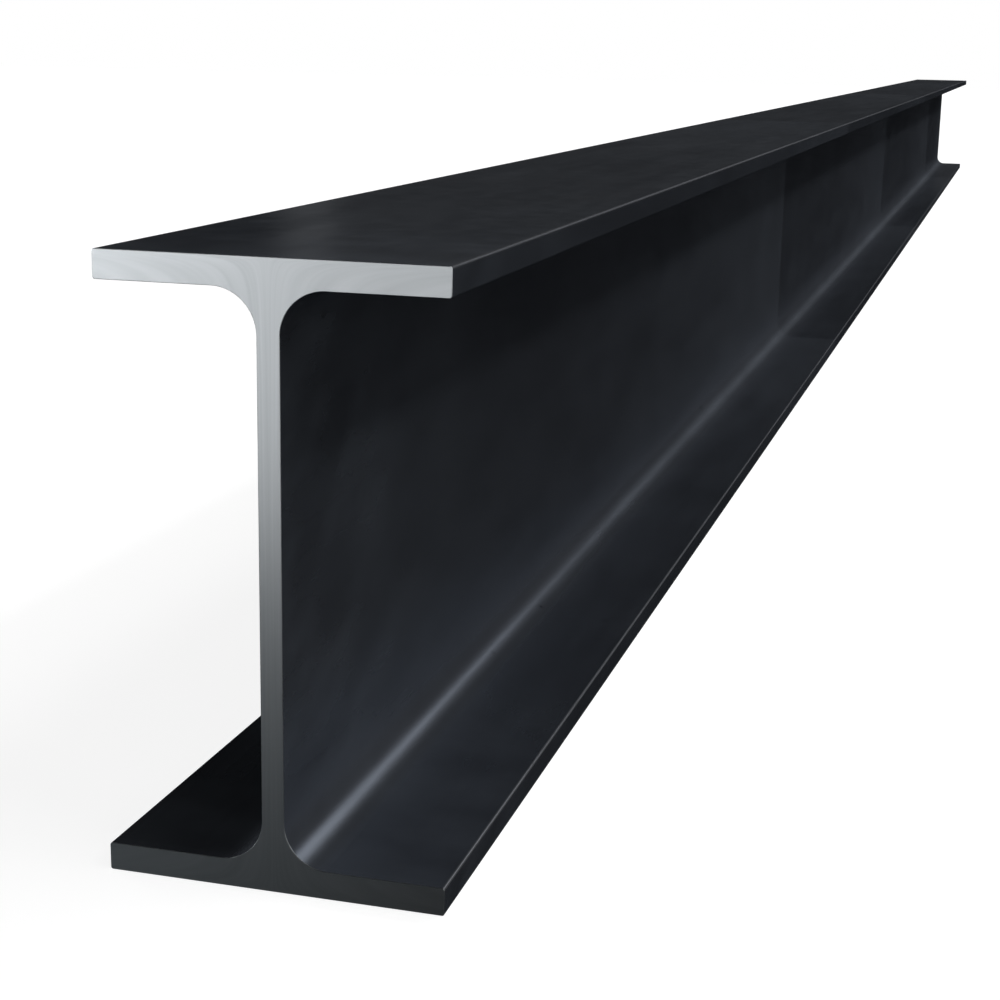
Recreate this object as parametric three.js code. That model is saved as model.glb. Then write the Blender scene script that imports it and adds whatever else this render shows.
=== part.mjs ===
// Steel I-beam: one length of hot-rolled section with parallel flanges, cut square at both ends.
//
// The beam lies along Y and stands on its lower flange, web upright. The origin is in the middle of
// its length, on the underside, under the web. Millimetres, +Z up.
//
// The section is the lightest 100 mm I-section with parallel flanges, IPE AA 100 of EN 10365.

import * as THREE from "three";

// Driving dimensions
const LENGTH = 2000; // cut length of the bar
const SECTION_HEIGHT = 97.6; // over both flanges
const FLANGE_WIDTH = 55;
const FLANGE_THICKNESS = 4.5;
const WEB_THICKNESS = 3.6;
const ROOT_RADIUS = 7; // concave fillet where the web runs into a flange
const TOE_RADIUS = 0.4; // edges of the flange tips, as the edging rolls leave them

// Fineness of the rounded corners, in straight steps for a quarter turn
const ROOT_STEPS = 18;
const TOE_STEPS = 4;

// Mill scale: blue-black oxide with a satin sheen
const MILL_SCALE = { color: 0x2c3138, roughness: 0.42, metalness: 0.8 };

// Corners of the section as they would be without any rounding, in order round the outline with the
// steel on the left. All of them are square. x is across the flanges and y is up.
function sectionCorners() {
  const tip = FLANGE_WIDTH / 2;
  const webFace = WEB_THICKNESS / 2;
  const lowerFlangeTop = FLANGE_THICKNESS;
  const upperFlangeUnderside = SECTION_HEIGHT - FLANGE_THICKNESS;
  const toe = (x, y) => ({ x, y, radius: TOE_RADIUS, steps: TOE_STEPS });
  const root = (x, y) => ({ x, y, radius: ROOT_RADIUS, steps: ROOT_STEPS });
  return [
    toe(-tip, 0),
    toe(tip, 0),
    toe(tip, lowerFlangeTop),
    root(webFace, lowerFlangeTop),
    root(webFace, upperFlangeUnderside),
    toe(tip, upperFlangeUnderside),
    toe(tip, SECTION_HEIGHT),
    toe(-tip, SECTION_HEIGHT),
    toe(-tip, upperFlangeUnderside),
    root(-webFace, upperFlangeUnderside),
    root(-webFace, lowerFlangeTop),
    toe(-tip, lowerFlangeTop),
  ];
}

// Replaces each square corner with a quarter circle that touches both of its sides. The circle's
// centre is one radius back along the side that comes in and one radius out along the side that
// leaves, so the same rule rounds the outward toes and the inward roots.
function roundedOutline(corners) {
  const points = [];
  corners.forEach((corner, i) => {
    const before = corners.at(i - 1);
    const after = corners[(i + 1) % corners.length];
    const into = new THREE.Vector2(corner.x - before.x, corner.y - before.y).normalize();
    const out = new THREE.Vector2(after.x - corner.x, after.y - corner.y).normalize();
    const centre = new THREE.Vector2(corner.x, corner.y)
      .addScaledVector(into, -corner.radius)
      .addScaledVector(out, corner.radius);
    for (let step = 0; step <= corner.steps; step += 1) {
      const turn = ((step / corner.steps) * Math.PI) / 2;
      const point = centre
        .clone()
        .addScaledVector(out, -corner.radius * Math.cos(turn))
        .addScaledVector(into, corner.radius * Math.sin(turn));
      points.push(point);
    }
  });
  return points;
}

// The section drawn out along the length, as the rolls make it, and turned to lie along Y.
function rolledBeam() {
  const section = new THREE.Shape(roundedOutline(sectionCorners()));
  const geometry = new THREE.ExtrudeGeometry(section, { depth: LENGTH, bevelEnabled: false });
  const beam = new THREE.Mesh(geometry, new THREE.MeshStandardMaterial(MILL_SCALE));
  beam.name = "i_beam";
  beam.rotation.x = Math.PI / 2;
  beam.position.y = LENGTH / 2;
  return beam;
}

const group = new THREE.Group();
group.add(rolledBeam());

export default group;
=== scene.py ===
import math

import bpy
from mathutils import Matrix, Vector


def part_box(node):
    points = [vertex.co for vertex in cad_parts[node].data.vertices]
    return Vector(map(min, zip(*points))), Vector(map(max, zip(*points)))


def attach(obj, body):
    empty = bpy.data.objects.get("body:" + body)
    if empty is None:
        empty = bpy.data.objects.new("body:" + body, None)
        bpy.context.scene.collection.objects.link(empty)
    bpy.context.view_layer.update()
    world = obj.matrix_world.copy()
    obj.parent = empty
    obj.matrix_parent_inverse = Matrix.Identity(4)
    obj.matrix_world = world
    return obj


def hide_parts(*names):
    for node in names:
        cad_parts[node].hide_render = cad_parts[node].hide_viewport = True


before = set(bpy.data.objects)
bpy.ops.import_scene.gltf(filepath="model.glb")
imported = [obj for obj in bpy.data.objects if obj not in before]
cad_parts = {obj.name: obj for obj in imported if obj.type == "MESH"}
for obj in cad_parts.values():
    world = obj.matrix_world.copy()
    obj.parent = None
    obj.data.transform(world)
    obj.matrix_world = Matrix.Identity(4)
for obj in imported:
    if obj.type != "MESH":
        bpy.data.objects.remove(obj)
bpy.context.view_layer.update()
scene = bpy.context.scene

# ---------------------------------------------------------------------------------------------------
# The camera stands by the front end, just above the top flange and a little to its right, and looks
# down along the bar. A short telephoto lens takes in the whole section and lets the bar run far back.

SENSOR = 36.0
LENS = 67.713
CAMERA_PLACE = Vector((0.102944, -1.248823, 0.127487))
CAMERA_HEADING = 15.286  # degrees left of +Y
CAMERA_TILT = -13.611  # degrees above level
CAMERA_ROLL = 1.1045  # degrees

camera_data = bpy.data.cameras.new("camera")
camera_data.sensor_width = SENSOR
camera_data.lens = LENS
camera_data.clip_start = 0.02
camera_data.clip_end = 200.0
camera = bpy.data.objects.new("camera", camera_data)
camera.matrix_world = (
    Matrix.Translation(CAMERA_PLACE)
    @ Matrix.Rotation(math.radians(CAMERA_HEADING), 4, "Z")
    @ Matrix.Rotation(math.radians(90.0 + CAMERA_TILT), 4, "X")
    @ Matrix.Rotation(math.radians(CAMERA_ROLL), 4, "Z")
)
scene.collection.objects.link(camera)
scene.camera = camera

# ---------------------------------------------------------------------------------------------------
# Mill scale, the blue-black skin of iron oxide that hot rolling leaves on structural steel. The rolls
# press it flat and satin and cloud it lengthways, and its tone steps every 580 mm along the bar. On it
# lie pressed specks, rubbed wisps and painted light and shade: a painted halo by the lower roots,
# painted light near each cut, painted shade on the top face and flange tips, and painted highlights on
# the arrises.

SCALE_DARK = "#25272b"
SCALE_PALE = "#35383d"
SCALE_SHEEN = "#f0f6ff"
DULL_METAL = 0.31
SHINY_METAL = 0.49
ROOT_HALO_PAINT = "#404349"
RUBBED_AND_LIT_SCALE = "#42464c"
SHADE_PAINT = "#15181c"
ARRIS_HIGHLIGHT_PAINT = "#4a4b4e"
SPECK = "#16181a"
TONE_SPACING = 0.58
TONE_STEP = 0.3
HALO_START = 0.004
HALO_END = 0.015
HALO_SHARE = 0.4
RUBBED_AND_LIT_LENGTH = 0.12
RUBBED_AND_LIT_SHARE = 0.55
SPOTS_FADE_LENGTH = 0.04
SHADE_BEGINS = 0.0003  # depth under a face
SHADE_FULL = 0.0001
TIP_SHADE_PAINT = 0.15
ARRIS_LINE_CORE = 0.0002
ARRIS_LINE_EDGE = 0.0005
WAVE_HEIGHT = 0.0001
GRAIN_HEIGHT = 0.00003


def linear(hex_colour):
    """Turns an sRGB hex colour into linear red, green and blue, with a full alpha."""
    parts = [int(hex_colour[place : place + 2], 16) / 255 for place in (1, 3, 5)]
    return [p / 12.92 if p <= 0.04045 else ((p + 0.055) / 1.055) ** 2.4 for p in parts] + [1.0]


def add_node(tree, kind, inputs=None, **settings):
    """Adds one node. An input is a value, a socket to link, or a node whose first output is linked."""
    node = tree.nodes.new(kind)
    for name, value in settings.items():
        setattr(node, name, value)
    for key, value in (inputs or {}).items():
        if isinstance(value, bpy.types.Node):
            value = value.outputs[0]
        if isinstance(value, bpy.types.NodeSocket):
            tree.links.new(value, node.inputs[key])
        else:
            node.inputs[key].default_value = value
    return node


def empty_material(name):
    """A node material with nothing in it yet."""
    material = bpy.data.materials.new(name)
    material.use_nodes = True
    material.node_tree.nodes.clear()
    return material


def stepped_tone(tree, parts, length):
    """The tone rises slowly over each span along the bar and drops sharply where the next span begins.
    """
    along = add_node(tree, "ShaderNodeMath", {0: parts["Y"], 1: length / 2}, operation="ADD")
    span = add_node(tree, "ShaderNodeMath", {0: along, 1: TONE_SPACING}, operation="DIVIDE")
    through_span = add_node(tree, "ShaderNodeMath", {0: span}, operation="FRACT")
    return add_node(
        tree,
        "ShaderNodeMapRange",
        {
            "Value": through_span,
            "From Min": 0.3,
            "From Max": 1.0,
            "To Min": -TONE_STEP,
            "To Max": TONE_STEP,
        },
        interpolation_type="SMOOTHSTEP",
    )


def painted_root_halo(tree, across, above_flange):
    """A painted halo round the lower root highlight, thinning out away from the corner of web and
    flange.
    """
    from_root = add_node(
        tree,
        "ShaderNodeVectorMath",
        {0: add_node(tree, "ShaderNodeCombineXYZ", {"X": across, "Y": above_flange})},
        operation="LENGTH",
    ).outputs["Value"]
    return add_node(
        tree,
        "ShaderNodeMapRange",
        {
            "Value": from_root,
            "From Min": HALO_START,
            "From Max": HALO_END,
            "To Min": HALO_SHARE,
            "To Max": 0.0,
        },
        interpolation_type="SMOOTHSTEP",
    )


def rubbed_and_lit_ends(tree, centred, from_middle, length):
    """Rubbed wisps 25 mm long and 10 mm tall that lean a little, paler as painted light near each cut.
    """
    near_end = add_node(
        tree,
        "ShaderNodeMapRange",
        {
            "Value": from_middle,
            "From Min": length / 2 - RUBBED_AND_LIT_LENGTH,
            "From Max": length / 2,
            "To Min": 0.0,
            "To Max": RUBBED_AND_LIT_SHARE,
        },
    )
    wisp_place = add_node(
        tree,
        "ShaderNodeMapping",
        {"Vector": centred, "Rotation": (0.5, 0.0, 0.0), "Scale": (0.025, 0.025, 0.01)},
        vector_type="TEXTURE",
    )
    wisps = add_node(
        tree,
        "ShaderNodeTexNoise",
        {"Vector": wisp_place, "Scale": 1.0, "Detail": 3.0, "Roughness": 0.5},
    )
    rubbing = add_node(
        tree,
        "ShaderNodeMapRange",
        {"Value": wisps, "From Min": 0.35, "From Max": 0.75, "To Min": 0.2},
    )
    return add_node(tree, "ShaderNodeMath", {0: near_end, 1: rubbing}, operation="MULTIPLY")


def painted_top_shade(tree, centred, parts, from_middle, length, section_height):
    """Painted shade on the top face in dark spots of 5 mm, fading out towards each cut."""
    on_top = add_node(
        tree,
        "ShaderNodeMapRange",
        {
            "Value": parts["Z"],
            "From Min": section_height / 2 - SHADE_BEGINS,
            "From Max": section_height / 2 - SHADE_FULL,
        },
    )
    remaining = add_node(
        tree,
        "ShaderNodeMapRange",
        {
            "Value": from_middle,
            "From Min": length / 2 - SPOTS_FADE_LENGTH,
            "From Max": length / 2,
            "To Min": 1.0,
            "To Max": 0.0,
        },
    )
    spots = add_node(
        tree,
        "ShaderNodeTexNoise",
        {"Vector": centred, "Scale": 220.0, "Detail": 3.0, "Roughness": 0.5},
    )
    darkness = add_node(
        tree,
        "ShaderNodeMapRange",
        {"Value": spots, "From Min": 0.3, "From Max": 0.7, "To Min": 0.12, "To Max": 0.66},
    )
    reach = add_node(
        tree, "ShaderNodeMath", {0: on_top, 1: remaining}, operation="MULTIPLY"
    )
    return add_node(tree, "ShaderNodeMath", {0: reach, 1: darkness}, operation="MULTIPLY")


def painted_tip_shade(tree, across, flange_width):
    """Painted shade that makes the flange tips darker than the flat faces."""
    return add_node(
        tree,
        "ShaderNodeMapRange",
        {
            "Value": across,
            "From Min": flange_width / 2 - SHADE_BEGINS,
            "From Max": flange_width / 2 - SHADE_FULL,
            "To Max": TIP_SHADE_PAINT,
        },
    )


def painted_arris_highlight(tree, parts, across, above_flange, section_height, flange_width):
    """A painted highlight along the upper arris of each flange tip, within half a millimetre of its
    corner.
    """
    from_top = add_node(
        tree, "ShaderNodeMath", {0: parts["Z"], 1: section_height / 2}, operation="SUBTRACT"
    )
    from_upper_side = add_node(
        tree,
        "ShaderNodeMath",
        {
            0: add_node(tree, "ShaderNodeMath", {0: from_top}, operation="ABSOLUTE"),
            1: add_node(tree, "ShaderNodeMath", {0: above_flange}, operation="ABSOLUTE"),
        },
        operation="MINIMUM",
    )
    from_tip = add_node(
        tree, "ShaderNodeMath", {0: across, 1: flange_width / 2}, operation="SUBTRACT"
    )
    from_arris = add_node(
        tree,
        "ShaderNodeVectorMath",
        {0: add_node(tree, "ShaderNodeCombineXYZ", {"X": from_tip, "Y": from_upper_side})},
        operation="LENGTH",
    ).outputs["Value"]
    return add_node(
        tree,
        "ShaderNodeMapRange",
        {
            "Value": from_arris,
            "From Min": ARRIS_LINE_CORE,
            "From Max": ARRIS_LINE_EDGE,
            "To Min": 1.0,
            "To Max": 0.0,
        },
    )


def pressed_specks(tree, centred):
    """Dark specks of about 1 mm where the rolls pressed loose scale in, a few to the hand's breadth."""
    speck_place = add_node(
        tree, "ShaderNodeMapping", {"Vector": centred, "Scale": (70.0, 50.0, 70.0)}
    )
    cells = add_node(tree, "ShaderNodeTexVoronoi", {"Vector": speck_place, "Scale": 1.0}).outputs
    return add_node(
        tree,
        "ShaderNodeMapRange",
        {
            "Value": cells["Distance"],
            "From Min": 0.03,
            "From Max": 0.07,
            "To Min": 0.5,
            "To Max": 0.0,
        },
    )


def mill_scale(length, section_height, flange_width, flange_thickness):
    """Hot-rolled steel with its scale on, for a bar lying along Y on the floor."""
    material = empty_material("mill_scale_hot_rolled")
    tree = material.node_tree
    place = add_node(tree, "ShaderNodeTexCoord").outputs["Object"]
    centred = add_node(
        tree, "ShaderNodeMapping", {"Vector": place, "Location": (0.0, 0.0, -section_height / 2)}
    )
    parts = add_node(tree, "ShaderNodeSeparateXYZ", {0: centred}).outputs
    across = add_node(tree, "ShaderNodeMath", {0: parts["X"]}, operation="ABSOLUTE")
    from_middle = add_node(tree, "ShaderNodeMath", {0: parts["Y"]}, operation="ABSOLUTE")
    above_flange = add_node(
        tree,
        "ShaderNodeMath",
        {0: parts["Z"], 1: section_height / 2 - flange_thickness},
        operation="ADD",
    )

    # Mottles from 20 mm down to 2 mm, twice as long as they are wide.
    mottle_place = add_node(
        tree, "ShaderNodeMapping", {"Vector": centred, "Scale": (60.0, 28.0, 60.0)}
    )
    mottles = add_node(
        tree,
        "ShaderNodeTexNoise",
        {"Vector": mottle_place, "Scale": 1.0, "Detail": 4.0, "Roughness": 0.55},
    )
    # Clouds 10 mm wide and 100 mm long, drawn out by the rolls, with finer wisps in them.
    cloud_place = add_node(
        tree, "ShaderNodeMapping", {"Vector": centred, "Scale": (100.0, 10.0, 100.0)}
    )
    clouds = add_node(
        tree,
        "ShaderNodeTexNoise",
        {"Vector": cloud_place, "Scale": 1.0, "Detail": 5.0, "Roughness": 0.65},
    )
    clouded = add_node(
        tree,
        "ShaderNodeMath",
        {0: clouds, 1: 1.8, 2: stepped_tone(tree, parts, length)},
        operation="MULTIPLY_ADD",
    )
    mottled = add_node(
        tree, "ShaderNodeMath", {0: mottles, 1: 0.9, 2: -0.87}, operation="MULTIPLY_ADD"
    )
    tone = add_node(tree, "ShaderNodeMath", {0: clouded, 1: mottled}, operation="ADD")
    # Painted shade: dark spots on the top face and a darker tone on the flange tips.
    painted_shade = add_node(
        tree,
        "ShaderNodeMath",
        {
            0: painted_top_shade(tree, centred, parts, from_middle, length, section_height),
            1: painted_tip_shade(tree, across, flange_width),
        },
        operation="MAXIMUM",
    )

    # The tone runs from dark to pale scale, and each mark lies over the ones before it.
    colour = linear(SCALE_DARK)
    for amount, shade in (
        (tone, SCALE_PALE),
        # painted halo of the lower root highlight
        (painted_root_halo(tree, across, above_flange), ROOT_HALO_PAINT),
        # rubbed wisps and painted light near each cut
        (rubbed_and_lit_ends(tree, centred, from_middle, length), RUBBED_AND_LIT_SCALE),
        # painted shade on the top face and flange tips
        (painted_shade, SHADE_PAINT),
        # painted highlight along the upper arrises
        (
            painted_arris_highlight(tree, parts, across, above_flange, section_height, flange_width),
            ARRIS_HIGHLIGHT_PAINT,
        ),
        (pressed_specks(tree, centred), SPECK),
    ):
        colour = add_node(
            tree,
            "ShaderNodeMix",
            {"Factor": amount, "A": colour, "B": linear(shade)},
            data_type="RGBA",
        ).outputs[2]

    # The pale clouds are the shinier ones, and the satin varies a little with the mottles.
    metal = add_node(
        tree,
        "ShaderNodeMapRange",
        {
            "Value": clouds,
            "From Min": 0.3,
            "From Max": 0.7,
            "To Min": DULL_METAL,
            "To Max": SHINY_METAL,
        },
    )
    roughness = add_node(
        tree,
        "ShaderNodeMapRange",
        {"Value": mottles, "From Min": 0.3, "From Max": 0.7, "To Min": 0.24, "To Max": 0.27},
    )
    # Slow waves of 30 mm carry a grain of 1.2 mm, coarser than the real scale's so that it shows.
    wave_place = add_node(
        tree, "ShaderNodeMapping", {"Vector": centred, "Scale": (30.0, 14.0, 30.0)}
    )
    waves = add_node(
        tree, "ShaderNodeTexNoise", {"Vector": wave_place, "Scale": 1.0, "Detail": 1.0}
    )
    waved = add_node(
        tree, "ShaderNodeBump", {"Height": waves, "Strength": 1.0, "Distance": WAVE_HEIGHT}
    )
    grain = add_node(
        tree,
        "ShaderNodeTexNoise",
        {"Vector": centred, "Scale": 800.0, "Detail": 2.0, "Roughness": 0.6},
    )
    grained = add_node(
        tree,
        "ShaderNodeBump",
        {"Height": grain, "Strength": 0.03, "Distance": GRAIN_HEIGHT, "Normal": waved},
    )
    shader = add_node(
        tree,
        "ShaderNodeBsdfPrincipled",
        {
            "Base Color": colour,
            "Metallic": metal,
            "Roughness": roughness,
            "Specular IOR Level": 0.0,
            "Specular Tint": linear(SCALE_SHEEN),
            "Normal": grained,
        },
    )
    add_node(tree, "ShaderNodeOutputMaterial", {"Surface": shader})
    return material


# ---------------------------------------------------------------------------------------------------
# The sawn end, bare low-carbon steel. The blade leaves it smooth and matt grey, and the layers that
# the rolls drew out show in it as fine lines: straight up the web, then fanned out into both flanges
# like a fountain, each line flattening towards the outer face as it nears the flange tip.

STEEL_LIGHT = "#abafb2"
STEEL_GREY = "#a0a4a7"
SAWN_ROUGHNESS = 0.3
FAN_DEPTH = 0.008
FIRST_LINE = 0.0008


def sawn_steel(section_height):
    """Bare steel as the saw leaves it, for a section that stands on the floor."""
    material = empty_material("sawn_low_carbon_steel")
    tree = material.node_tree
    place = add_node(tree, "ShaderNodeTexCoord").outputs["Object"]
    centred = add_node(
        tree, "ShaderNodeMapping", {"Vector": place, "Location": (0.0, 0.0, -section_height / 2)}
    )
    parts = add_node(tree, "ShaderNodeSeparateXYZ", {0: centred}).outputs

    # A line keeps the same width across the web times the square root of its depth under the face.
    level = add_node(tree, "ShaderNodeMath", {0: parts["Z"]}, operation="ABSOLUTE")
    depth = add_node(
        tree, "ShaderNodeMath", {0: section_height / 2, 1: level}, operation="SUBTRACT"
    )
    fanned = add_node(tree, "ShaderNodeMath", {0: depth, 1: FAN_DEPTH}, operation="ADD")
    share = add_node(tree, "ShaderNodeMath", {0: depth, 1: fanned}, operation="DIVIDE")
    squeeze = add_node(tree, "ShaderNodeMath", {0: share, 1: 0.5}, operation="POWER")
    across = add_node(tree, "ShaderNodeMath", {0: parts["X"]}, operation="ABSOLUTE")
    stream = add_node(tree, "ShaderNodeMath", {0: across, 1: squeeze}, operation="MULTIPLY")
    widths = add_node(
        tree, "ShaderNodeMath", {0: stream, 1: 1.0 / FIRST_LINE, 2: 1.0}, operation="MULTIPLY_ADD"
    )
    number = add_node(tree, "ShaderNodeMath", {0: widths, 1: math.e}, operation="LOGARITHM")
    side = add_node(tree, "ShaderNodeMath", {0: parts["X"]}, operation="SIGN")
    line = add_node(tree, "ShaderNodeMath", {0: number, 1: side}, operation="MULTIPLY")
    line_place = add_node(
        tree,
        "ShaderNodeCombineXYZ",
        {
            "X": add_node(tree, "ShaderNodeMath", {0: line, 1: 4.0}, operation="MULTIPLY"),
            "Y": add_node(tree, "ShaderNodeMath", {0: parts["X"], 1: 45.0}, operation="MULTIPLY"),
            "Z": add_node(tree, "ShaderNodeMath", {0: parts["Z"], 1: 20.0}, operation="MULTIPLY"),
        },
    )
    lines = add_node(
        tree,
        "ShaderNodeTexNoise",
        {"Vector": line_place, "Scale": 1.0, "Detail": 2.5, "Roughness": 0.6},
    )
    contrast = add_node(
        tree,
        "ShaderNodeMapRange",
        {"Value": lines, "From Min": 0.3, "From Max": 0.7},
    )
    colour = add_node(
        tree,
        "ShaderNodeMix",
        {"Factor": contrast, "A": linear(STEEL_GREY), "B": linear(STEEL_LIGHT)},
        data_type="RGBA",
    )
    # Fine saw marks across the section, drawn 0.4 mm apart so that they show.
    mark_place = add_node(
        tree, "ShaderNodeMapping", {"Vector": centred, "Scale": (40.0, 1.0, 2500.0)}
    )
    marks = add_node(
        tree,
        "ShaderNodeTexNoise",
        {"Vector": mark_place, "Scale": 1.0, "Detail": 2.0, "Roughness": 0.5},
    )
    scored = add_node(
        tree, "ShaderNodeBump", {"Height": marks, "Strength": 0.1, "Distance": 0.00001}
    )
    shader = add_node(
        tree,
        "ShaderNodeBsdfPrincipled",
        {
            "Base Color": colour.outputs[2],
            "Metallic": 1.0,
            "Roughness": SAWN_ROUGHNESS,
            "Normal": scored,
        },
    )
    add_node(tree, "ShaderNodeOutputMaterial", {"Surface": shader})
    return material


# ---------------------------------------------------------------------------------------------------
# The beam, one bar of structural steel drawn out hot between rolls into an I, so that its web, flanges
# and root fillets are one piece. The rolls leave the flange tips a little rounded, and after the saw
# has cut the bar to length the sharp rim of each flat end is taken off with a file.

FLANGE_THICKNESS = 0.0045
WEB_THICKNESS = 0.0036
ROOT_RADIUS = 0.007
TOE_RADIUS = 0.0004
FILED_RIM = 0.00008
ROOT_STEPS = 24
TOE_STEPS = 6

beam_low, beam_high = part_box("i_beam")
beam_length = beam_high[1] - beam_low[1]
flange_width = beam_high[0] - beam_low[0]
section_height = beam_high[2] - beam_low[2]

# Each corner of the section, anticlockwise as the bar's front end shows it: its place across, its
# level, and whether it is a root between web and flange or a toe at a flange tip.
SECTION_CORNERS = [
    ("left tip", "underside", "Toe"),
    ("right tip", "underside", "Toe"),
    ("right tip", "lower inside", "Toe"),
    ("right of web", "lower inside", "Root"),
    ("right of web", "upper inside", "Root"),
    ("right tip", "upper inside", "Toe"),
    ("right tip", "top", "Toe"),
    ("left tip", "top", "Toe"),
    ("left tip", "upper inside", "Toe"),
    ("left of web", "upper inside", "Root"),
    ("left of web", "lower inside", "Root"),
    ("left tip", "lower inside", "Toe"),
]
SIZE_NAMES = [
    "Section Height",
    "Flange Width",
    "Flange Thickness",
    "Web Thickness",
    "Root Radius",
    "Toe Radius",
    "Length",
    "Filed Rim",
]


def section_outline(tree, given):
    """The rounded outline of the section as a closed curve in the XY plane, with its level in Y."""
    half_width = add_node(
        tree, "ShaderNodeMath", {0: given["Flange Width"], 1: 0.5}, operation="MULTIPLY"
    )
    half_web = add_node(
        tree, "ShaderNodeMath", {0: given["Web Thickness"], 1: 0.5}, operation="MULTIPLY"
    )
    upper_inside = add_node(
        tree,
        "ShaderNodeMath",
        {0: given["Section Height"], 1: given["Flange Thickness"]},
        operation="SUBTRACT",
    )
    values = {
        "right tip": half_width,
        "left tip": add_node(tree, "ShaderNodeMath", {0: 0.0, 1: half_width}, operation="SUBTRACT"),
        "right of web": half_web,
        "left of web": add_node(
            tree, "ShaderNodeMath", {0: 0.0, 1: half_web}, operation="SUBTRACT"
        ),
        "underside": 0.0,
        "lower inside": given["Flange Thickness"],
        "upper inside": upper_inside,
        "top": given["Section Height"],
    }
    for kind in ("Root", "Toe"):
        values[kind + " Radius"] = given[kind + " Radius"]
        values[kind + " Steps"] = given[kind + " Steps"]
    corner = add_node(tree, "GeometryNodeInputIndex")

    def by_corner(names, kind="FLOAT"):
        """A field that gives each corner its own value."""
        switch = add_node(tree, "GeometryNodeIndexSwitch", {"Index": corner}, data_type=kind)
        while len(switch.index_switch_items) < len(names):
            switch.index_switch_items.new()
        for entry, name in zip(list(switch.inputs)[1:], names):
            value = values[name]
            if isinstance(value, bpy.types.Node):
                value = value.outputs[0]
            if isinstance(value, bpy.types.NodeSocket):
                tree.links.new(value, entry)
            else:
                entry.default_value = value
        return switch

    place = add_node(
        tree,
        "ShaderNodeCombineXYZ",
        {
            "X": by_corner([across for across, _, _ in SECTION_CORNERS]),
            "Y": by_corner([level for _, level, _ in SECTION_CORNERS]),
        },
    )
    corners = add_node(
        tree, "GeometryNodePoints", {"Count": len(SECTION_CORNERS), "Position": place}
    )
    joined = add_node(tree, "GeometryNodePointsToCurves", {"Points": corners})
    closed = add_node(tree, "GeometryNodeSetSplineCyclic", {"Geometry": joined, "Cyclic": True})
    return add_node(
        tree,
        "GeometryNodeFilletCurve",
        {
            "Curve": closed,
            "Count": by_corner([kind + " Steps" for _, _, kind in SECTION_CORNERS], "INT"),
            "Radius": by_corner([kind + " Radius" for _, _, kind in SECTION_CORNERS]),
        },
        mode="POLY",
    )


def mark_outwards(tree, outline):
    """Marks each point of the outline with the direction that leads straight out of the steel."""
    # The outline runs anticlockwise, so a quarter turn clockwise from its run faces out of the steel.
    # Drawn out along +Y it stands with its left on the right, which an I doesn't mind.
    run = add_node(tree, "GeometryNodeInputTangent")
    run_parts = add_node(tree, "ShaderNodeSeparateXYZ", {0: run}).outputs
    turned = add_node(
        tree, "ShaderNodeCombineXYZ", {"X": run_parts["Y"], "Z": run_parts["X"]}
    )
    out_of_steel = add_node(
        tree, "ShaderNodeVectorMath", {0: turned, 1: (-1.0, -1.0, -1.0)}, operation="MULTIPLY"
    )
    marked = add_node(tree, "GeometryNodeCaptureAttribute", {"Geometry": outline})
    marked.capture_items.new("VECTOR", "Out Of Steel")
    tree.links.new(out_of_steel.outputs[0], marked.inputs["Out Of Steel"])
    return marked


def path_along_bar(tree, half_length, filed_rim):
    """A path with two points at each end, one on the end face and one where the filed rim begins."""
    rim_start = add_node(
        tree, "ShaderNodeMath", {0: half_length, 1: filed_rim}, operation="SUBTRACT"
    )
    number = add_node(tree, "GeometryNodeInputIndex")
    from_middle = add_node(tree, "ShaderNodeMath", {0: number, 1: 1.5}, operation="SUBTRACT")
    steps_out = add_node(tree, "ShaderNodeMath", {0: from_middle}, operation="ABSOLUTE")
    is_end = add_node(tree, "ShaderNodeMath", {0: steps_out, 1: 1.0}, operation="GREATER_THAN")
    reach = add_node(
        tree, "ShaderNodeMath", {0: is_end, 1: filed_rim, 2: rim_start}, operation="MULTIPLY_ADD"
    )
    side = add_node(tree, "ShaderNodeMath", {0: from_middle}, operation="SIGN")
    signed_reach = add_node(tree, "ShaderNodeMath", {0: side, 1: reach}, operation="MULTIPLY")
    place = add_node(tree, "ShaderNodeCombineXYZ", {"Y": signed_reach})
    points = add_node(tree, "GeometryNodePoints", {"Count": 4, "Position": place})
    path = add_node(tree, "GeometryNodePointsToCurves", {"Points": points})
    return add_node(
        tree,
        "GeometryNodeSetCurveNormal",
        {"Curve": path, "Normal": (-1.0, 0.0, 0.0)},
        mode="FREE",
    )


def file_rims(tree, bar, out_of_steel, half_length, filed_rim):
    """Draws the outline on each end face in by the filed rim."""
    position = add_node(tree, "GeometryNodeInputPosition")
    along = add_node(tree, "ShaderNodeSeparateXYZ", {0: position}).outputs["Y"]
    from_middle = add_node(tree, "ShaderNodeMath", {0: along}, operation="ABSOLUTE")
    from_end_face = add_node(
        tree, "ShaderNodeMath", {0: from_middle, 1: half_length}, operation="SUBTRACT"
    )
    half_rim_back = add_node(
        tree, "ShaderNodeMath", {0: filed_rim, 1: -0.5}, operation="MULTIPLY"
    )
    on_end_face = add_node(
        tree,
        "FunctionNodeCompare",
        {"A": from_end_face, "B": half_rim_back},
        data_type="FLOAT",
        operation="GREATER_THAN",
    )
    rim_inwards = add_node(tree, "ShaderNodeMath", {0: 0.0, 1: filed_rim}, operation="SUBTRACT")
    inwards = add_node(
        tree,
        "ShaderNodeVectorMath",
        {0: out_of_steel, "Scale": rim_inwards},
        operation="SCALE",
    )
    return add_node(
        tree,
        "GeometryNodeSetPosition",
        {"Geometry": bar, "Selection": on_end_face, "Offset": inwards},
    )


def faces_along_bar(tree):
    """A field that is true on the end faces and their filed rims, which face along the bar."""
    facing = add_node(tree, "GeometryNodeInputNormal").outputs["Normal"]
    along = add_node(tree, "ShaderNodeSeparateXYZ", {0: facing}).outputs["Y"]
    return add_node(
        tree,
        "FunctionNodeCompare",
        {"A": add_node(tree, "ShaderNodeMath", {0: along}, operation="ABSOLUTE"), "B": 0.3},
        data_type="FLOAT",
        operation="GREATER_THAN",
    )


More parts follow.
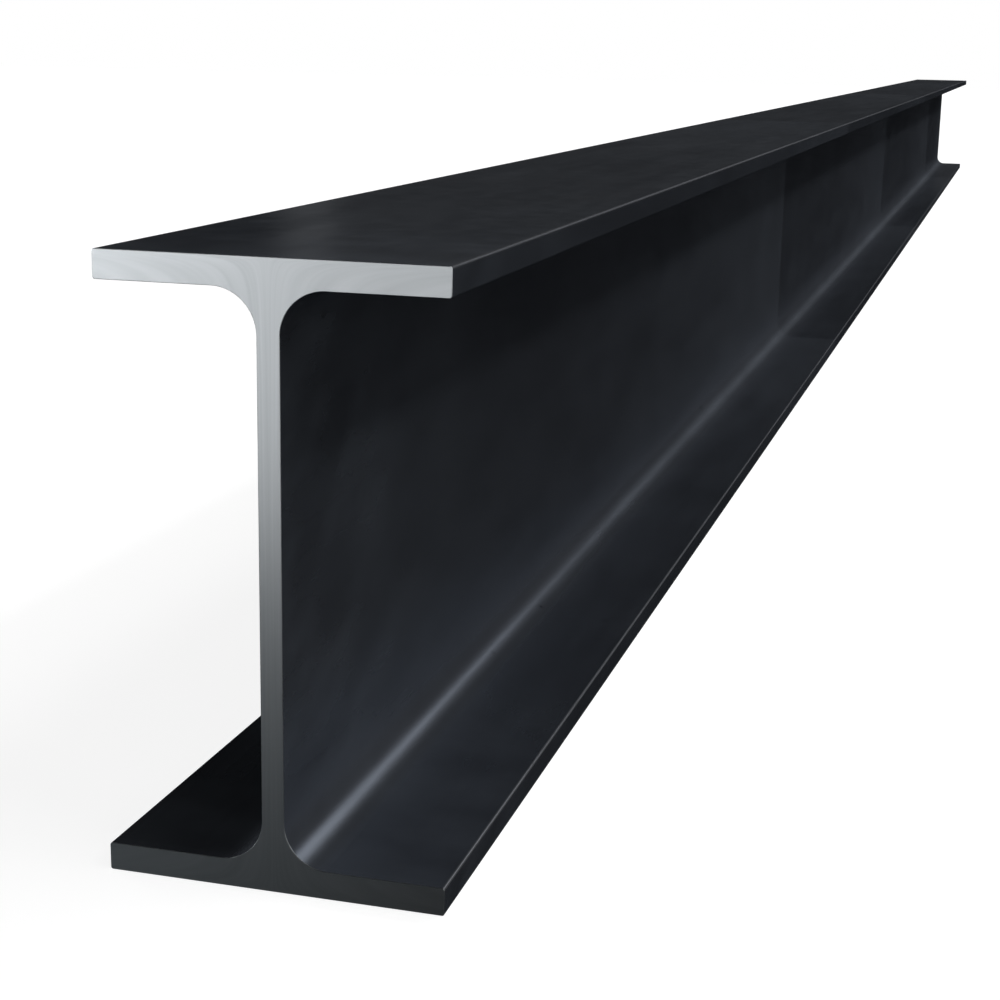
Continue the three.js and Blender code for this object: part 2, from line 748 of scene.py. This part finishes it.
def drawn_section_tree(skin, cut_face):
    """Geometry Nodes that draw the section out along Y, close its ends and take off their rims."""
    tree = bpy.data.node_groups.new("drawn_section", "GeometryNodeTree")
    for name in SIZE_NAMES:
        tree.interface.new_socket(name, in_out="INPUT", socket_type="NodeSocketFloat")
    for name in ("Root Steps", "Toe Steps"):
        tree.interface.new_socket(name, in_out="INPUT", socket_type="NodeSocketInt")
    tree.interface.new_socket("Beam", in_out="OUTPUT", socket_type="NodeSocketGeometry")
    given = add_node(tree, "NodeGroupInput").outputs
    filed_rim = given["Filed Rim"]
    half_length = add_node(
        tree, "ShaderNodeMath", {0: given["Length"], 1: 0.5}, operation="MULTIPLY"
    )
    outline = mark_outwards(tree, section_outline(tree, given))
    bar = add_node(
        tree,
        "GeometryNodeCurveToMesh",
        {
            "Curve": path_along_bar(tree, half_length, filed_rim),
            "Profile Curve": outline,
            "Fill Caps": True,
        },
    )
    filed = file_rims(tree, bar, outline.outputs["Out Of Steel"], half_length, filed_rim)
    real = add_node(tree, "GeometryNodeRealizeInstances", {"Geometry": filed})
    # The rolled faces keep their skin, and the sawn ones are bare.
    skinned = add_node(tree, "GeometryNodeSetMaterial", {"Geometry": real, "Material": skin})
    finished = add_node(
        tree,
        "GeometryNodeSetMaterial",
        {"Geometry": skinned, "Selection": faces_along_bar(tree), "Material": cut_face},
    )
    add_node(tree, "NodeGroupOutput", {"Beam": finished})
    return tree


def drawn_beam(name, tree, sizes):
    """Runs the tree and keeps its result as a plain mesh, smooth but for its arrises."""
    source = bpy.data.objects.new(name + "_source", bpy.data.meshes.new(name + "_source"))
    scene.collection.objects.link(source)
    modifier = source.modifiers.new("drawn_section", "NODES")
    modifier.node_group = tree
    for item in tree.interface.items_tree:
        if item.in_out == "INPUT":
            modifier[item.identifier] = sizes[item.name]
    evaluated = source.evaluated_get(bpy.context.evaluated_depsgraph_get())
    mesh = bpy.data.meshes.new_from_object(evaluated)
    mesh.name = name
    bpy.data.objects.remove(source)
    mesh.polygons.foreach_set("use_smooth", [True] * len(mesh.polygons))
    mesh.set_sharp_from_angle(angle=math.radians(30.0))
    piece = bpy.data.objects.new(name, mesh)
    scene.collection.objects.link(piece)
    # Normals weighted by area keep the flat faces flat right up to the fillets.
    weighted = piece.modifiers.new("flat_faces", "WEIGHTED_NORMAL")
    weighted.keep_sharp = True
    return piece


beam = drawn_beam(
    "i_beam_rolled",
    drawn_section_tree(
        mill_scale(beam_length, section_height, flange_width, FLANGE_THICKNESS),
        sawn_steel(section_height),
    ),
    {
        "Section Height": section_height,
        "Flange Width": flange_width,
        "Flange Thickness": FLANGE_THICKNESS,
        "Web Thickness": WEB_THICKNESS,
        "Root Radius": ROOT_RADIUS,
        "Toe Radius": TOE_RADIUS,
        "Length": beam_length,
        "Filed Rim": FILED_RIM,
        "Root Steps": ROOT_STEPS,
        "Toe Steps": TOE_STEPS,
    },
)
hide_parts("i_beam")
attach(beam, "root")

# ---------------------------------------------------------------------------------------------------
# The studio floor, a wide sheet of matt grey paper. A glow that only the eye and gloss can see turns it
# white up to its horizon, without lighting the bar from below, and leaves the bar's soft shadow on it.

FLOOR_HALF_SIDE = 6.0
PAPER = "#909090"
PAPER_GLOW = 0.84
SEEN_IN_GLOSS = ["Is Glossy Ray", "Is Transmission Ray"]
SEEN_RAYS = ["Is Camera Ray"] + SEEN_IN_GLOSS


def light_path_any(tree, rays):
    """One for a ray of any of the named kinds, and nought for others."""
    path = add_node(tree, "ShaderNodeLightPath").outputs
    found = path[rays[0]]
    for ray in rays[1:]:
        found = add_node(tree, "ShaderNodeMath", {0: found, 1: path[ray]}, operation="MAXIMUM")
    return found


def white_paper():
    """Matt grey paper with the glow that shows it white."""
    material = empty_material("white_background_paper")
    tree = material.node_tree
    glow = add_node(
        tree,
        "ShaderNodeMath",
        {0: light_path_any(tree, SEEN_RAYS), 1: PAPER_GLOW},
        operation="MULTIPLY",
    )
    shader = add_node(
        tree,
        "ShaderNodeBsdfPrincipled",
        {
            "Base Color": linear(PAPER),
            "Roughness": 0.9,
            "Specular IOR Level": 0.0,
            "Emission Color": (1.0, 1.0, 1.0, 1.0),
            "Emission Strength": glow,
        },
    )
    add_node(tree, "ShaderNodeOutputMaterial", {"Surface": shader})
    return material


def sheet_on_stage(name, corners, material):
    """A flat four-cornered sheet that isn't part of the bar."""
    mesh = bpy.data.meshes.new(name)
    mesh.from_pydata(corners, [], [(0, 1, 2, 3)])
    mesh.materials.append(material)
    sheet = bpy.data.objects.new(name, mesh)
    scene.collection.objects.link(sheet)
    return sheet


def level_corners(left, front, right, back, level):
    """The corners of a level sheet, anticlockwise as seen from above."""
    return [(left, front, level), (right, front, level), (right, back, level), (left, back, level)]


sheet_on_stage(
    "floor",
    level_corners(-FLOOR_HALF_SIDE, -FLOOR_HALF_SIDE, FLOOR_HALF_SIDE, FLOOR_HALF_SIDE, 0.0),
    white_paper(),
)

# ---------------------------------------------------------------------------------------------------
# Dark cards about the bar, which keep the white paper out of its satin faces. Only gloss sees them,
# and each gives off its own dark tone, so no lamp or shadow changes it.

CARD_LIFT = 0.00005
CARD_LEFT = -0.6
CARD_FRONT = beam_low[1] + 0.005  # under the bar, just behind its front end
CARD_REACH = 50.0
END_CARD_FRONT = beam_low[1] - 0.2
BACK_CARD_PLACE = 20.0
BACK_CARD_HEIGHT = 1.2
VELVET = "#060606"
FELT_LEFT = "#404548"
FELT_RIGHT = "#212325"
FELT_TURN = 0.03


def black_velvet():
    """Cloth so dark that it gives back nearly nothing."""
    material = empty_material("black_velvet")
    tree = material.node_tree
    shader = add_node(tree, "ShaderNodeEmission", {"Color": linear(VELVET)})
    add_node(tree, "ShaderNodeOutputMaterial", {"Surface": shader})
    return material


def graded_felt():
    """Felt that is grey on the left of the bar and darkens to the right of it."""
    material = empty_material("graded_felt")
    tree = material.node_tree
    place = add_node(tree, "ShaderNodeTexCoord").outputs["Object"]
    across = add_node(tree, "ShaderNodeSeparateXYZ", {0: place}).outputs["X"]
    right = add_node(
        tree,
        "ShaderNodeMapRange",
        {"Value": across, "From Min": -FELT_TURN, "From Max": FELT_TURN},
    )
    colour = add_node(
        tree,
        "ShaderNodeMix",
        {"Factor": right, "A": linear(FELT_LEFT), "B": linear(FELT_RIGHT)},
        data_type="RGBA",
    )
    shader = add_node(tree, "ShaderNodeEmission", {"Color": colour.outputs[2]})
    add_node(tree, "ShaderNodeOutputMaterial", {"Surface": shader})
    return material


def gloss_card(name, corners, material):
    """A card that only gloss can see."""
    card = sheet_on_stage(name, corners, material)
    card.visible_camera = False
    card.visible_diffuse = False
    card.visible_shadow = False
    card.visible_transmission = False


velvet = black_velvet()
gloss_card(
    "card_beside",
    level_corners(CARD_LEFT, CARD_FRONT, 0.0, beam_high[1], CARD_LIFT),
    velvet,
)
# On the right a card runs far back. On the left the bare paper beyond the bar lights its far end.
gloss_card(
    "card_far_back",
    level_corners(0.0, CARD_FRONT, CARD_REACH, CARD_REACH, CARD_LIFT),
    velvet,
)
gloss_card(
    "card_before_end",
    level_corners(CARD_LEFT, END_CARD_FRONT, CARD_REACH, CARD_FRONT, CARD_LIFT),
    graded_felt(),
)
gloss_card(
    "card_behind",
    [
        (-BACK_CARD_PLACE, BACK_CARD_PLACE, 0.0),
        (BACK_CARD_PLACE, BACK_CARD_PLACE, 0.0),
        (BACK_CARD_PLACE, BACK_CARD_PLACE, BACK_CARD_HEIGHT),
        (-BACK_CARD_PLACE, BACK_CARD_PLACE, BACK_CARD_HEIGHT),
    ],
    velvet,
)

# ---------------------------------------------------------------------------------------------------
# The studio light. The key is a strip light that hangs parallel to the bar on its right, so the top
# flange throws one straight shadow line along the web. Soft boxes beyond the far end put the highlight
# in the lower root, others fill the faces, and a small one at knee height lights the cut end.

STRIP_SIDE = 6.0
STRIP_HEIGHT = 6.7
STRIP_WIDTH = 0.9
STRIP_START = beam_low[1] - 3.0
STRIP_END = beam_low[1] + 8.5
STRIP_BRIGHTNESS = 14.8
BOX_DISTANCE = 16.0


def add_lamp(name, place, across, away, width, height, brightness):
    """A flat lamp that faces against away. Gloss sees it brightness times as bright as full white."""
    lamp = bpy.data.lights.new(name, "AREA")
    lamp.shape = "RECTANGLE"
    lamp.size = width
    lamp.size_y = height
    lamp.energy = math.pi * width * height * brightness
    turn = Matrix((across, away.cross(across), away)).transposed().to_4x4()
    lamp_object = bpy.data.objects.new(name, lamp)
    lamp_object.matrix_world = Matrix.Translation(place) @ turn
    scene.collection.objects.link(lamp_object)
    lamp_object.visible_camera = False


def soft_box(name, heading, height, breadth, rise, brightness):
    """A box far off, placed and sized by the angles in degrees that the front end sees it at."""
    heading, height = math.radians(heading), math.radians(height)
    away = Vector(
        (
            math.sin(heading) * math.cos(height),
            math.cos(heading) * math.cos(height),
            math.sin(height),
        )
    )
    place = Vector((0.0, beam_low[1], 0.0)) + away * BOX_DISTANCE
    across = Vector((math.cos(heading), -math.sin(heading), 0.0))
    width = 2.0 * BOX_DISTANCE * math.tan(math.radians(breadth) / 2.0)
    tall = 2.0 * BOX_DISTANCE * math.tan(math.radians(rise) / 2.0)
    add_lamp(name, place, across, away, width, tall, brightness)


add_lamp(
    "strip_key",
    Vector((STRIP_SIDE, (STRIP_START + STRIP_END) / 2.0, STRIP_HEIGHT)),
    Vector((0.0, 1.0, 0.0)),
    Vector((STRIP_SIDE, 0.0, STRIP_HEIGHT)).normalized(),
    STRIP_END - STRIP_START,
    STRIP_WIDTH,
    STRIP_BRIGHTNESS,
)
# Each box has its heading right of +Y, its height, its breadth, its rise and its brightness.
soft_box("back_box_high", 30.0, 45.0, 10.0, 8.0, 19.0)
soft_box("back_box_low", 26.0, 28.0, 17.0, 20.0, 7.8)
soft_box("back_glow", 0.0, 9.0, 40.0, 6.0, 0.15)
soft_box("side_box_low", 90.0, 5.5, 15.0, 11.0, 14.0)
soft_box("side_box_middle", 90.0, 15.0, 15.0, 8.0, 5.5)
soft_box("side_box_high", 90.0, 60.0, 30.0, 20.0, 1.2)
soft_box("front_box", 150.0, 17.0, 40.0, 10.0, 5.0)
soft_box("left_box_high", -80.0, 45.0, 30.0, 30.0, 1.4)
soft_box("left_box_low", -60.0, 8.0, 30.0, 12.0, 12.0)
soft_box("end_box", 215.0, 2.5, 10.0, 5.0, 29.3)
soft_box("patch_strip", -21.2, 6.0, 1.6, 9.0, 0.3)

# ---------------------------------------------------------------------------------------------------
# The room about the stage. The eye sees white all round, and gloss sees a low white wall under a nearly
# black ceiling. The room gives the rest only a little soft light.

ROOM_LIGHT = 0.04
CEILING = 0.015
WALL_FADES = 0.035  # height over distance
WALL_ENDS = 0.06

world = bpy.data.worlds.new("studio")
world.use_nodes = True
scene.world = world
sky = world.node_tree
sky.nodes.clear()
direction = add_node(sky, "ShaderNodeTexCoord").outputs["Generated"]
wall = add_node(
    sky,
    "ShaderNodeMapRange",
    {
        "Value": add_node(sky, "ShaderNodeSeparateXYZ", {0: direction}).outputs["Z"],
        "From Min": WALL_FADES,
        "From Max": WALL_ENDS,
        "To Min": 1.0,
        "To Max": CEILING,
    },
    interpolation_type="SMOOTHSTEP",
)
lit = add_node(
    sky,
    "ShaderNodeMix",
    {"Factor": light_path_any(sky, SEEN_IN_GLOSS), "A": ROOM_LIGHT, "B": wall},
    data_type="FLOAT",
)
strength = add_node(
    sky,
    "ShaderNodeMix",
    {"Factor": light_path_any(sky, ["Is Camera Ray"]), "A": lit, "B": 1.0},
    data_type="FLOAT",
)
background = add_node(
    sky, "ShaderNodeBackground", {"Color": (1.0, 1.0, 1.0, 1.0), "Strength": strength}
)
add_node(sky, "ShaderNodeOutputWorld", {"Surface": background})

scene.view_settings.view_transform = "Standard"
